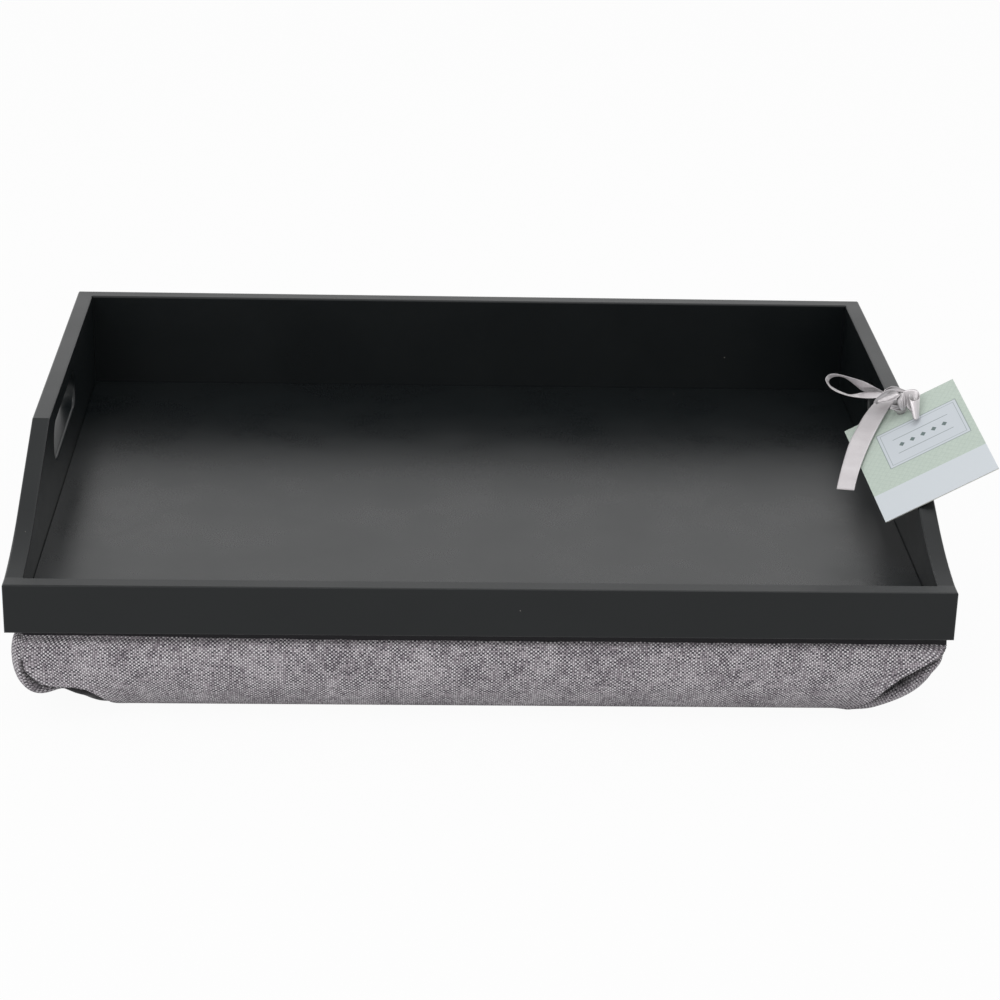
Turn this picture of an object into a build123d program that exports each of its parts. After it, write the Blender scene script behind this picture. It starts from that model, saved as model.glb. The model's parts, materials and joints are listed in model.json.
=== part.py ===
from build123d import *
import math
import os

# A lap tray: an open wooden tray with a hand slot in each side, fixed on a cushion full of beads.
# A swing tag hangs on a satin ribbon that is tied round the rail over the right hand slot.
# X runs along the tray's width, Y towards its high back wall, and Z up from the face it rests on.
# The origin is at the middle of the cushion's flat underside. Lengths are in millimetres.

# Tray
tray_width = 460.0
tray_depth = 330.0
wall_thickness = 9.0
back_height = 63.0
front_height = 25.5
edge_round = 1.0
cushion_height = 50.0

# Rim of the side walls: level, then a straight slope from the knee, then a hollow arc to the front
knee_from_back = 206.0
rim_run_share = 0.557
rim_drop_share = 0.667
rim_step_count = 24

# Hand slots
slot_length = 92.0
slot_height = 20.0
slot_from_back = 147.0
rail_height = 10.8
slot_round = 1.6

# Tray floor and the grooves that hold it
floor_thickness = 5.0
floor_top_height = 10.0
floor_rebate = 1.5
floor_side_gap = 0.3
groove_depth = 4.5
groove_play = 0.2
floor_end_play = 0.4

# Dowels between the side walls and the front and back walls
dowel_diameter = 5.0
dowel_length = 22.0
dowel_in_wall = 6.0
dowel_glue_gap = 0.05
dowel_end_gap = 0.3
front_dowel_shares = (0.68,)
back_dowel_shares = (0.3, 0.57, 0.84)

# Cushion: board, cover and bag of beads
panel_thickness = 3.0
panel_play = 0.3
cover_thickness = 2.4
hem_thickness = 1.2
hem_width = 18.0
cushion_inset = 4.5
bulge_overhang = 2.5
lower_corner_round = 60.0
fold_depth = 1.0
fold_run = 36.0
fold_start_drop = 8.0
fold_end_height = 6.0
fold_side_run = 26.0
bag_gap = 0.3
flat_cut = 0.5

# Each level of the cushion: its height, how far it is drawn in, its corner radius, how much it faces down.
# Height and draw-in are shares of the cushion's height, the radius one of the lower corner radius.
level_shares = (
    (0.040, 0.400, 0.87, 0.93),
    (0.110, 0.250, 0.57, 0.82),
    (0.250, 0.115, 0.50, 0.58),
    (0.450, 0.020, 0.45, 0.25),
    (0.720, 0.000, 0.20, 0.00),
)
crown_draw_share = 0.75

# Staples that hold the cover to the board
staple_crown = 10.0
staple_leg = 3.6
staple_wire = 0.7
staple_margin = 40.0
width_staple_count = 8
depth_staple_count = 6

# Swing tag: the card lies on the inner edge of the right rim, and turns about its hole
card_width = 62.5
card_height = 75.0
card_thickness = 0.6
hole_diameter = 5.0
hole_below_edge = 5.0
hole_inside_rim = 0.8
hole_behind_knee = 10.8
card_rest_gap = 0.3
card_roll_angle = 28.9

# Ribbon
ribbon_width = 10.0
ribbon_thickness = 0.4
ribbon_gap = 0.1
rail_gap = 0.3
band_behind_knee = 50.0
neck_diameter = 3.4
neck_length = 3.4
knot_width = 12.0
knot_height = 9.5
knot_depth = 6.5
knot_round = 2.6
wrap_width = 6.0
wrap_angle = 25.0
lead_end_width = 2.6
lead_end_gap = 1.0
bow_lean_angle = 23.0
loop_length = 36.0
loop_tip_radius = 4.6
loop_mouth = 2.4
loop_rise_share = 0.40
short_loop_length = 11.0
short_loop_radius = 4.2
short_loop_gap = 0.5
short_loop_angle = 35.0
tail_length = 64.0
tail_over_card = 2.0
tail_route_shares = (
    (-0.12, 0.02),
    (-0.27, -0.04),
    (-0.42, -0.17),
    (-0.54, -0.35),
    (-0.67, -0.60),
)

# Places that follow from the sizes above
half_width = tray_width / 2
half_depth = tray_depth / 2
inner_half_width = half_width - wall_thickness
inner_half_depth = half_depth - wall_thickness
rim_z = cushion_height + back_height
front_rim_z = cushion_height + front_height
knee_y = half_depth - knee_from_back
floor_z = cushion_height + floor_top_height
slot_y = half_depth - slot_from_back
slot_z = rim_z - rail_height - slot_height / 2
seat_half_width = half_width - cushion_inset
seat_half_depth = half_depth - cushion_inset
seat_corner = edge_round + 2 * cushion_inset
hem_z = cushion_height - hem_thickness
panel_z = hem_z - panel_thickness
reach = tray_width


def box(low, high):
    """A box between two corners."""
    size = [b - a for a, b in zip(low, high)]
    return Pos(*low) * Box(*size, align=(Align.MIN, Align.MIN, Align.MIN))


def rounded(half_x, half_y, corner, z):
    """A level face with rounded corners."""
    return Pos(0, 0, z) * RectangleRounded(2 * half_x, 2 * half_y, corner)


# Walls


def inner_edge_tool():
    """What rounds the inner top edge of the front wall between the side walls."""
    length = 2 * inner_half_width
    corner = box((-length / 2, -edge_round, -edge_round), (length / 2, edge_round, edge_round))
    bar = Pos(0, -edge_round, -edge_round) * Rot(0, 90, 0) * Cylinder(edge_round, length)
    return corner - bar


def floor_groove():
    """The space that the floor's tongue and its play take up in all four walls."""
    low_z = floor_z - floor_thickness
    high_z = floor_z - floor_rebate + groove_play
    half_x = inner_half_width + groove_depth
    half_y = inner_half_depth + groove_depth
    return box((-half_x, -half_y, low_z), (half_x, half_y, high_z))


def dowel_places():
    """The middle of each dowel's outer end, and the way it points into its side wall."""
    places = []
    rows = ((-1, front_height, front_dowel_shares), (1, back_height, back_dowel_shares))
    for y_side, height, shares in rows:
        for x_side in (-1, 1):
            for share in shares:
                x = x_side * (half_width - wall_thickness / 2)
                y = y_side * (inner_half_depth + dowel_in_wall)
                places.append((x, y, cushion_height + height * share, -y_side))
    return places


def dowels(grow=0.0, longer=0.0):
    """All the dowels, or with a gap round them, the holes that they sit in."""
    pieces = []
    for x, y, z, way in dowel_places():
        length = dowel_length + 2 * longer
        middle = y + way * dowel_length / 2
        pieces.append(Pos(x, middle, z) * Rot(90, 0, 0) * Cylinder(dowel_diameter / 2 + grow, length))
    return pieces


def dowel_holes():
    return dowels(dowel_glue_gap, dowel_end_gap)


def cross_wall(height, y_side):
    """The front or back wall, which runs the tray's full width."""
    wall = Box(tray_width, wall_thickness, height)
    outer = wall.faces().sort_by(Axis.Y)[0]
    top = wall.faces().sort_by(Axis.Z)[-1]
    inner_edge = top.edges().sort_by(Axis.Y)[-1]
    ends = [e for e in top.edges() if e != inner_edge]
    wall = fillet(ShapeList(ends + [e for e in outer.edges() if e not in ends]), edge_round)
    wall -= Pos(0, wall_thickness / 2, height / 2) * inner_edge_tool()
    wall = Pos(0, -half_depth + wall_thickness / 2, cushion_height + height / 2) * wall
    if y_side > 0:
        wall = mirror(wall, about=Plane.XZ)
    return wall - floor_groove() - dowel_holes()


def rim_lines():
    """The falling part of the rim, seen along X: a straight slope from the knee, then a hollow arc."""
    knee = Vector(knee_y, rim_z)
    end = Vector(-inner_half_depth, front_rim_z)
    turn = Vector(knee.X + (end.X - knee.X) * rim_run_share, knee.Y + (end.Y - knee.Y) * rim_drop_share)
    return Line(knee, turn), TangentArc(turn, end, tangent=turn - knee)


def side_outline():
    """The right side wall's outline, seen along X."""
    slope, hollow = rim_lines()
    front, back = -inner_half_depth, inner_half_depth
    rest = Polyline(hollow @ 1, (front, cushion_height), (back, cushion_height), (back, rim_z), slope @ 0)
    return make_face(Plane.YZ * (Curve() + [slope, hollow, rest]))


def right_wall():
    """The right side wall, with its shaped rim, hand slot, groove and dowel holes."""
    wall = Pos(inner_half_width, 0, 0) * extrude(side_outline(), wall_thickness)
    rim = []
    for edge in wall.edges():
        along_wall = edge.bounding_box().size.X < edge_round
        on_rim = edge.center().Z > (cushion_height + front_rim_z) / 2
        level_enough = edge.bounding_box().size.Y > edge_round
        if along_wall and on_rim and level_enough:
            rim.append(edge)
    wall = fillet(ShapeList(rim), edge_round)
    slot = extrude(SlotOverall(slot_length, slot_height), 2 * wall_thickness, both=True)
    wall -= Plane((half_width, slot_y, slot_z), x_dir=(0, 1, 0), z_dir=(1, 0, 0)) * slot
    mouth = [e for e in wall.edges() if on_slot_mouth(e)]
    wall = fillet(ShapeList(mouth), slot_round)
    return wall - floor_groove() - dowel_holes()


def on_slot_mouth(edge):
    """Whether an edge runs round the hand slot on one face of the wall."""
    size = edge.bounding_box().size
    middle = edge.center()
    along = abs(middle.Y - slot_y) <= slot_length / 2
    upright = abs(middle.Z - slot_z) <= (slot_height + edge_round) / 2
    return along and upright and size.X < edge_round and size.Y + size.Z > slot_height / 2


def tray_floor():
    """The floor, with a tongue all round it in the walls' grooves."""
    low_z = floor_z - floor_thickness
    floor = Part()
    for grow, high_z in ((groove_depth - floor_end_play, floor_z - floor_rebate), (-floor_side_gap, floor_z)):
        half_x, half_y = inner_half_width + grow, inner_half_depth + grow
        floor += box((-half_x, -half_y, low_z), (half_x, half_y, high_z))
    return floor


# Cushion


def pillow(grow):
    """The cushion's full form up to its board, with its skin moved out or in by grow."""
    bulge_x = seat_half_width + bulge_overhang
    bulge_y = seat_half_depth + bulge_overhang
    inset = crown_draw_share * cushion_height
    levels = [rounded(bulge_x - inset, bulge_y - inset, lower_corner_round, -flat_cut - grow)]
    for height_share, draw_share, corner_share, down_share in level_shares:
        out = grow * math.sqrt(1 - down_share**2) - draw_share * cushion_height
        corner = corner_share * lower_corner_round + grow * (1 - down_share)
        z = height_share * cushion_height - grow * down_share
        levels.append(rounded(bulge_x + out, bulge_y + out, corner, z))
    levels.append(rounded(seat_half_width + grow, seat_half_depth + grow, seat_corner + grow, hem_z))
    return loft(levels)


def corner_folds():
    """What the folded corners take off the cover: a step down along a slanting line."""
    top_z = cushion_height - fold_start_drop
    outline = [
        (half_width - cushion_inset, top_z),
        (half_width - cushion_inset - fold_run, fold_end_height),
        (half_width - cushion_inset - fold_run, -reach),
        (half_width + reach, -reach),
        (half_width + reach, top_z),
    ]
    wedge = extrude(make_face(Plane.XZ * Polyline(*outline, close=True)), reach)
    wedge = Pos(0, -half_depth + fold_side_run, 0) * wedge
    folds = [wedge, mirror(wedge, about=Plane.YZ)]
    return folds + [mirror(fold, about=Plane.XZ) for fold in folds]


def cushion_cover():
    """The fabric cover, open on top, with its hem turned in over the board."""
    skin = pillow(0)
    under_fold = pillow(-fold_depth)
    for fold in corner_folds():
        skin -= fold - under_fold
    skin -= pillow(-cover_thickness)
    outer = rounded(seat_half_width, seat_half_depth, seat_corner, hem_z)
    inner = rounded(seat_half_width - hem_width, seat_half_depth - hem_width, seat_corner, hem_z)
    hem = extrude(outer - inner, hem_thickness)
    return skin + hem - box((-reach, -reach, -reach), (reach, reach, 0))


def cushion_panel():
    """The board inside the cover's top."""
    inset = cover_thickness + panel_play
    face = rounded(seat_half_width - inset, seat_half_depth - inset, seat_corner - inset, panel_z)
    return extrude(face, panel_thickness)


def bead_bag():
    """The liner bag full of beads, under the board."""
    bag = pillow(-cover_thickness - bag_gap)
    return bag - box((-reach, -reach, panel_z - bag_gap), (reach, reach, reach))


def staple():
    """One staple over a hem, with its crown along X and its legs pointing down."""
    crown = box((-staple_crown / 2, -staple_wire / 2, 0), (staple_crown / 2, staple_wire / 2, staple_wire))
    leg = box((0, -staple_wire / 2, -staple_leg), (staple_wire, staple_wire / 2, 0))
    return crown + Pos(-staple_crown / 2, 0, 0) * leg + Pos(staple_crown / 2 - staple_wire, 0, 0) * leg


def spread(count, length):
    """Evenly spaced places along a length, about its middle."""
    return [length * (i / (count - 1) - 0.5) for i in range(count)]


def cover_staples():
    """The staples all round the hem, inside the walls."""
    x = seat_half_width - (hem_width + wall_thickness) / 2
    y = seat_half_depth - (hem_width + wall_thickness) / 2
    one = staple()
    pieces = []
    for side in (-1, 1):
        for along in spread(width_staple_count, 2 * (x - staple_margin)):
            pieces.append(Pos(along, side * y, cushion_height) * one)
        for along in spread(depth_staple_count, 2 * (y - staple_margin)):
            pieces.append(Pos(side * x, along, cushion_height) * Rot(0, 0, 90) * one)
    return pieces


# Swing tag and ribbon


def card_fall():
    """How steeply the card lies: along the flattest line from the knee to the rim under it."""
    slope, hollow = rim_lines()
    card_below_knee = card_height - hole_below_edge - hole_behind_knee
    ways = [slope @ 1 - slope @ 0]
    for i in range(rim_step_count):
        way = hollow @ ((i + 1) / rim_step_count) - slope @ 0
        if way.length < card_below_knee:
            ways.append(way)
    return min(math.atan2(-way.Y, -way.X) for way in ways)


def card_plane():
    """The plane of the card's underside, with its origin at the hole, X across the card and Y up it."""
    roll = math.radians(card_roll_angle)
    fall = card_fall()
    across = Vector(math.cos(roll), 0, math.sin(roll))
    along_rim = Vector(0, math.cos(fall), math.sin(fall))
    normal = across.cross(along_rim).normalized()
    round_x = inner_half_width + edge_round
    round_y = knee_y + edge_round * math.sin(fall)
    round_z = rim_z - edge_round * math.cos(fall)
    hole_x = inner_half_width + hole_inside_rim
    hole_y = knee_y + hole_behind_knee
    off_round = edge_round + card_rest_gap - normal.X * (hole_x - round_x) - normal.Y * (hole_y - round_y)
    return Plane((hole_x, hole_y, round_z + off_round / normal.Z), x_dir=across, z_dir=normal)


def bow_plane():
    """The plane that the long loop stands in, through the middle of the knot."""
    lean = math.radians(bow_lean_angle)
    middle = card_plane() * Pos(0, 0, card_thickness + neck_length / 2 + knot_depth / 2)
    return Plane(middle.position, x_dir=(1, 0, 0), z_dir=(0, -math.cos(lean), math.sin(lean)))


def swing_tag():
    card = Pos(0, hole_below_edge - card_height / 2, 0) * Rectangle(card_width, card_height)
    return card_plane() * extrude(card - Circle(hole_diameter / 2), card_thickness)


def ribbon_band():
    """The ribbon round the rail, through the hand slot, and its doubled lead to the back of the card."""
    inner_x = wall_thickness + 2 * rail_gap
    inner_z = rail_height + 2 * rail_gap
    outer = RectangleRounded(inner_x + 2 * ribbon_thickness, inner_z + 2 * ribbon_thickness, edge_round)
    ring = extrude(outer - Rectangle(inner_x, inner_z), ribbon_width / 2, both=True)
    rail_middle = (half_width - wall_thickness / 2, knee_y + band_behind_knee, rim_z - rail_height / 2)
    ring = Plane(rail_middle, x_dir=(1, 0, 0), z_dir=(0, -1, 0)) * ring
    front_y = knee_y + band_behind_knee - ribbon_width / 2
    top_z = rim_z + rail_gap + ribbon_thickness
    start = Plane((rail_middle[0], front_y, top_z), x_dir=(1, 0, 0), z_dir=(0, -1, 0))
    back = (card_plane() * Pos(0, 0, -neck_length / 2 - lead_end_gap)).position
    end = Plane(back, x_dir=(1, 0, 0), z_dir=(0, -1, 0))
    narrow = end * Rectangle(lead_end_width, 2 * ribbon_thickness)
    lead = loft([start * Rectangle(wall_thickness, 2 * ribbon_thickness), narrow])
    return ring + lead


def ribbon_knot():
    """The knot in front of the card, with the gathered ribbon that passes through the hole."""
    align = (Align.CENTER, Align.CENTER, Align.MIN)
    neck = Cylinder(neck_diameter / 2, neck_length + card_thickness, align=align)
    body = fillet(Box(knot_width, knot_height, knot_depth).edges(), knot_round)
    wrap = Box(wrap_width, knot_height + 2 * ribbon_thickness, knot_depth + ribbon_thickness)
    wrap = fillet(wrap.edges().filter_by(Axis.X), knot_round)
    lift = card_thickness + neck_length / 2 + knot_depth / 2
    knot = Pos(0, 0, -neck_length / 2) * neck + Pos(0, 0, lift) * (body + Rot(0, 0, -wrap_angle) * wrap)
    return card_plane() * knot


def teardrop(length, tip_radius, mouth):
    """A loop of ribbon seen edge on, which opens at the origin and has its round tip along X."""
    centre = length - tip_radius
    upper = Line((0, mouth / 2), (centre, tip_radius))
    tip = ThreePointArc((centre, tip_radius), (length, 0), (centre, -tip_radius))
    lower = Line((centre, -tip_radius), (0, -mouth / 2))
    return Curve() + [upper, tip, lower]


def looped_ribbon(length, tip_radius, mouth):
    """A loop of ribbon with its width along Z, open where it enters the knot."""
    inner_tip = tip_radius - ribbon_thickness
    shut = Line((0, mouth / 2), (0, -mouth / 2))
    solid = make_face(teardrop(length, tip_radius, mouth) + shut)
    inner_mouth = mouth - 2 * ribbon_thickness
    shut = Line((0, inner_mouth / 2), (0, -inner_mouth / 2))
    hollow = make_face(teardrop(length - ribbon_thickness, inner_tip, inner_mouth) + shut)
    return extrude(solid - hollow, ribbon_width / 2, both=True)


def ribbon_left_loop():
    """The long loop, which stands out to the left of the knot."""
    rise = 180 - math.degrees(math.asin(loop_rise_share))
    loop = looped_ribbon(loop_length, loop_tip_radius, loop_mouth)
    start = Pos(-knot_width / 2, knot_height / 4, 0)
    return bow_plane() * start * Rot(0, 0, rise) * loop


def ribbon_right_loop():
    """The short loop, which stands on its edge beside the knot."""
    loop = looped_ribbon(short_loop_length, short_loop_radius, loop_mouth)
    lift = card_thickness + short_loop_gap + ribbon_width / 2
    beside = knot_width / 2 + loop_mouth / 2 * math.sin(math.radians(short_loop_angle)) + ribbon_gap
    return card_plane() * Pos(beside, -knot_height / 4, lift) * Rot(0, 0, -short_loop_angle) * loop


def ribbon_tail():
    """The long free end, from the knot over the card's corner to its square cut."""
    z = card_thickness + tail_over_card
    points = [Vector(x * tail_length, y * tail_length, z) for x, y in tail_route_shares]
    sections = []
    for before, point, after in zip(points[:1] + points, points, points[1:] + points[-1:]):
        along = after - before
        cut = Plane(point, x_dir=along.cross(Vector(0, 0, 1)), z_dir=along)
        sections.append(cut * Rectangle(ribbon_width, ribbon_thickness))
    return card_plane() * loft(sections)


def build():
    wall = right_wall()
    return {
        "front_wall": cross_wall(front_height, -1),
        "back_wall": cross_wall(back_height, 1),
        "left_side_wall": mirror(wall, about=Plane.YZ),
        "right_side_wall": wall,
        "tray_floor": tray_floor(),
        "corner_dowels": Compound(children=dowels()),
        "cushion_panel": cushion_panel(),
        "cushion_cover": cushion_cover(),
        "cover_staples": Compound(children=cover_staples()),
        "bead_bag": bead_bag(),
        "swing_tag": swing_tag(),
        "ribbon_band": ribbon_band(),
        "ribbon_knot": ribbon_knot(),
        "ribbon_left_loop": ribbon_left_loop(),
        "ribbon_right_loop": ribbon_right_loop(),
        "ribbon_tail": ribbon_tail(),
    }


os.makedirs("parts", exist_ok=True)
for node, shape in build().items():
    export_step(shape, "parts/" + node + ".step")
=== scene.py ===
import json
import math

import bpy
import numpy as np
from mathutils import Matrix, Vector


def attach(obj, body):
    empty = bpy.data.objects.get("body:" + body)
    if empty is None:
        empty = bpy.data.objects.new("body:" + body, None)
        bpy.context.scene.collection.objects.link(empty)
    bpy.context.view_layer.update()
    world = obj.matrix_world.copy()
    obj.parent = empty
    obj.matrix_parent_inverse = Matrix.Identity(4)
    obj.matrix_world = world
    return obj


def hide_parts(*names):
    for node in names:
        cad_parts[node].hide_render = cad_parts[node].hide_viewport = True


# A lap tray with satin black walls on a linen cushion, and a card that hangs on a satin ribbon.
# Lengths are in metres, unless a name ends in _mm or a heading says millimetres.
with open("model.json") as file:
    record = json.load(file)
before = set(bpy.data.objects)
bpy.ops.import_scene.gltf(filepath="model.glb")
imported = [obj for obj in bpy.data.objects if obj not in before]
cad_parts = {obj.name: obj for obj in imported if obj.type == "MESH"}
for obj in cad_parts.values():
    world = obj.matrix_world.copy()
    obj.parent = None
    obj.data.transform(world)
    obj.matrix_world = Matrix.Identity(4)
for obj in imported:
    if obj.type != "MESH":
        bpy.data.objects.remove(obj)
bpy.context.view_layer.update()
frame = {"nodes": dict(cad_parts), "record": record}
nodes = frame["nodes"]
scene = bpy.context.scene
scene.view_settings.view_transform = "Standard"


def add_object(name, data):
    """A new object in the scene, with a mesh, a camera or a light as its data."""
    thing = bpy.data.objects.new(name, data)
    scene.collection.objects.link(thing)
    return thing


# Camera


def make_camera():
    """The photograph's own viewpoint, as fitted to the corners of the tray."""
    place = (-0.040708, -1.308169, 0.606089)
    yaw, pitch, roll = 0.04155, 0.40012, 0.02612
    forward = Vector((math.sin(yaw) * math.cos(pitch), math.cos(yaw) * math.cos(pitch), -math.sin(pitch)))
    level = Vector((math.cos(yaw), -math.sin(yaw), 0))
    upright = level.cross(forward)
    right = math.cos(roll) * level + math.sin(roll) * upright
    up = math.cos(roll) * upright - math.sin(roll) * level
    data = bpy.data.cameras.new("camera")
    data.sensor_width = 36.0
    data.lens = 94.5227
    data.clip_start, data.clip_end = 0.05, 30
    camera = add_object("camera", data)
    turn = Matrix((right, up, -forward)).transposed().to_4x4()
    camera.matrix_world = Matrix.Translation(place) @ turn
    scene.camera = camera


make_camera()


# Node materials

# A noise stays nearly always between these
NOISE_LOW, NOISE_HIGH = 0.3, 0.7

# The sockets of a node that mixes colours: its factor, its two colours and its result
FACTOR, FIRST, SECOND, RESULT = 0, 6, 7, 2

# How many rays look for cloth close by, for the painted shade in folds
CREASE_RAYS = 8


class Nodes:
    """A short way to write the nodes of a tree."""

    def __init__(self, tree):
        self.tree = tree

    def put(self, socket, value):
        """Links a socket to another, or sets its value."""
        if isinstance(value, bpy.types.NodeSocket):
            self.tree.links.new(value, socket)
        else:
            socket.default_value = value

    def node(self, kind, inputs=(), **settings):
        node = self.tree.nodes.new(kind)
        for name, value in settings.items():
            setattr(node, name, value)
        for key, value in dict(inputs).items():
            self.put(node.inputs[key], value)
        return node

    def math(self, operation, *values):
        return self.node("ShaderNodeMath", enumerate(values), operation=operation).outputs[0]

    def vector(self, operation, *values):
        return self.node("ShaderNodeVectorMath", enumerate(values), operation=operation)

    def add(self, a, b):
        return self.math("ADD", a, b)

    def minus(self, a, b):
        return self.math("SUBTRACT", a, b)

    def times(self, a, b):
        return self.math("MULTIPLY", a, b)

    def larger(self, a, b):
        return self.math("MAXIMUM", a, b)

    def place(self):
        """The point in the object's own frame, in metres."""
        return self.node("ShaderNodeTexCoord").outputs["Object"]

    def scaled(self, place, x, y, z):
        return self.node("ShaderNodeMapping", {"Scale": (x, y, z), "Vector": place}).outputs["Vector"]

    def noise(self, place, scale, detail, rough):
        inputs = {"Scale": scale, "Detail": detail, "Roughness": rough, "Vector": place}
        return self.node("ShaderNodeTexNoise", inputs).outputs["Fac"]

    def range(self, value, low, high, to_low, to_high):
        """A value brought from one range into another, and held within it."""
        return self.node("ShaderNodeMapRange", enumerate((value, low, high, to_low, to_high))).outputs[0]

    def spread(self, noise, to_low, to_high):
        """A noise brought into a range."""
        return self.range(noise, NOISE_LOW, NOISE_HIGH, to_low, to_high)

    def mix(self, factor, a, b, blend="MIX"):
        inputs = {FACTOR: factor, FIRST: a, SECOND: b}
        return self.node("ShaderNodeMix", inputs, data_type="RGBA", blend_type=blend).outputs[RESULT]

    def darkened(self, colour, share):
        """A colour times a share of the light."""
        grey = self.node("ShaderNodeCombineColor", {"Red": share, "Green": share, "Blue": share})
        return self.mix(1.0, colour, grey.outputs[0], "MULTIPLY")

    def painted_crease_shade(self, colour, reach, power):
        """Painted shade: a colour that darkens in the piece's own folds, where cloth lies close to cloth."""
        inputs = {"Distance": reach}
        around = self.node("ShaderNodeAmbientOcclusion", inputs, only_local=True, samples=CREASE_RAYS)
        return self.darkened(colour, self.math("POWER", around.outputs["AO"], power))

    def bump(self, height, strength, distance):
        inputs = {"Strength": strength, "Distance": distance, "Height": height}
        return self.node("ShaderNodeBump", inputs).outputs[0]

    def white_rays(self):
        """1 for rays that see the surroundings as white: the camera's, and reflected or refracted ones."""
        path = self.node("ShaderNodeLightPath").outputs
        either = self.larger(path["Is Camera Ray"], path["Is Glossy Ray"])
        return self.larger(either, path["Is Transmission Ray"])


class Surface(Nodes):
    """A material with its shader."""

    def __init__(self, name):
        self.material = bpy.data.materials.new(name)
        self.material.use_nodes = True
        super().__init__(self.material.node_tree)
        self.shader = self.tree.nodes["Principled BSDF"]
        self.output = self.tree.nodes["Material Output"]

    def set(self, **values):
        """Sets or links the shader's own sockets."""
        for name, value in values.items():
            self.put(self.shader.inputs[name.replace("_", " ")], value)


def rgb(r, g, b):
    """A colour as it is seen, from 0 to 255, in the renderer's own terms: the sRGB curve, undone."""
    shares = [v / 255 for v in (r, g, b)]
    return tuple(v / 12.92 if v < 0.04045 else ((v + 0.055) / 1.055) ** 2.4 for v in shares) + (1.0,)


# Black paint: its two tones, and the colour of the dust on it. Towards the back edge the dust grows denser,
# between these two places along Y.
PAINT_TONES = ((0.0030, 0.0046, 0.0054, 1), (0.0044, 0.0062, 0.0070, 1))
DUST_TONE = rgb(196, 192, 184)
DUSTY_Y = (0.128, 0.153)

# Specks of dust: how many lie along a metre, and their least and greatest radius as shares of their spacing
SPECKS_PER_METRE = 165.0
SPECK_RADII = (0.018, 0.055)

# How strongly a speck shows, and how rough it is
SPECK_STRENGTH = 0.5
SPECK_ROUGH = 0.8

# How much the paint's roughness differs from patch to patch, and within its roll texture
PATCH_ROUGH = 0.03
ROLL_ROUGH = 0.02


def paint(name, rough, dust, ior, dusty_edge=0.0):
    """Satin black paint: a faint roll texture, uneven sheen, and pale specks of dust.

    dust is the share of places with a speck, and dusty_edge what is added to it at the back edge."""
    m = Surface(name)
    place = m.place()
    fine = m.noise(place, scale=1400, detail=3, rough=0.6)
    broad = m.noise(place, scale=22, detail=3, rough=0.55)
    patches = m.spread(broad, rough - PATCH_ROUGH, rough + PATCH_ROUGH)
    sheen = m.add(patches, m.spread(fine, -ROLL_ROUGH, ROLL_ROUGH))
    specks = m.node("ShaderNodeTexVoronoi", {"Scale": SPECKS_PER_METRE, "Vector": place})
    chosen = m.node("ShaderNodeSeparateColor", {"Color": specks.outputs["Color"]})
    radius = m.range(chosen.outputs[1], 0.0, 1.0, *SPECK_RADII)
    near = m.math("LESS_THAN", specks.outputs["Distance"], radius)
    back = m.node("ShaderNodeSeparateXYZ", {"Vector": place}).outputs["Y"]
    clean_share = m.range(back, *DUSTY_Y, 1.0 - dust, 1.0 - dust - dusty_edge)
    speck = m.times(near, m.math("GREATER_THAN", chosen.outputs[0], clean_share))
    tone = m.mix(m.spread(broad, 0.0, 1.0), *PAINT_TONES)
    m.set(
        IOR=ior,
        Base_Color=m.mix(m.times(speck, SPECK_STRENGTH), tone, DUST_TONE),
        Roughness=m.larger(sheen, m.times(speck, SPECK_ROUGH)),
        Normal=m.bump(fine, strength=0.06, distance=0.0004),
    )
    return m.material


def bare_wood(name, light, dark):
    """Plain wood with a fine grain along Y."""
    m = Surface(name)
    grain = m.noise(m.scaled(m.place(), 900, 60, 900), scale=1.0, detail=4, rough=0.6)
    colour = m.mix(m.spread(grain, 0, 1), dark, light)
    m.set(Base_Color=colour, Roughness=0.6, Normal=m.bump(grain, strength=0.2, distance=0.0003))
    return m.material


def bright_wire(name):
    """Drawn steel wire."""
    m = Surface(name)
    drawn = m.noise(m.place(), scale=3000, detail=2, rough=0.5)
    m.set(Metallic=1.0, Base_Color=(0.6, 0.6, 0.62, 1), Roughness=m.spread(drawn, 0.25, 0.4))
    return m.material


def dress(name, material):
    """Gives a CAD node its material."""
    slots = nodes[name].data.materials
    slots.clear()
    slots.append(material)


wall_paint = paint("wall_paint", rough=0.32, dust=0.05, ior=1.38)
floor_paint = paint("floor_paint", rough=0.29, dust=0.08, ior=1.50, dusty_edge=0.35)
for name in ("front_wall", "back_wall", "left_side_wall", "right_side_wall"):
    dress(name, wall_paint)
dress("tray_floor", floor_paint)
dress("corner_dowels", bare_wood("beech_wood", light=(0.62, 0.45, 0.28, 1), dark=(0.45, 0.3, 0.17, 1)))
dress("cushion_panel", bare_wood("hard_board", light=(0.36, 0.25, 0.15, 1), dark=(0.26, 0.17, 0.1, 1)))
dress("cover_staples", bright_wire("staple_wire"))


# Cushion, in millimetres: rows of points run down its profile, and columns run round it

# Half width and half depth at the widest level, and where the corner zones start
HALF_mm = np.array([228.0, 163.0])
ZONE_mm = np.array([146.0, 92.0])

# The profile from the seam under the tray to the flat underside: how far it is drawn in, and its height
PROFILE_mm = np.array([
    (3.7, 49.8), (3.6, 48.0), (3.5, 46.4), (3.2, 45.4), (2.3, 44.6), (1.3, 43.4), (0.7, 41.5), (0.25, 38.6),
    (0.0, 35.0), (0.15, 29.0), (1.1, 22.5), (2.9, 17.5), (5.75, 12.5), (9.2, 8.4), (12.8, 5.4), (16.6, 3.3),
    (20.6, 1.8), (25.5, 0.7), (31.0, 0.15), (37.0, 0.0), (46.0, 0.0),
])

# The level whose rings have the cloth's true lengths
LEVEL_mm = 23.0

# The draw-in from which the underside is dark lining, and how wide the change is
LINING_mm = 22.0
LINING_EDGE_mm = 2.0
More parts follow.
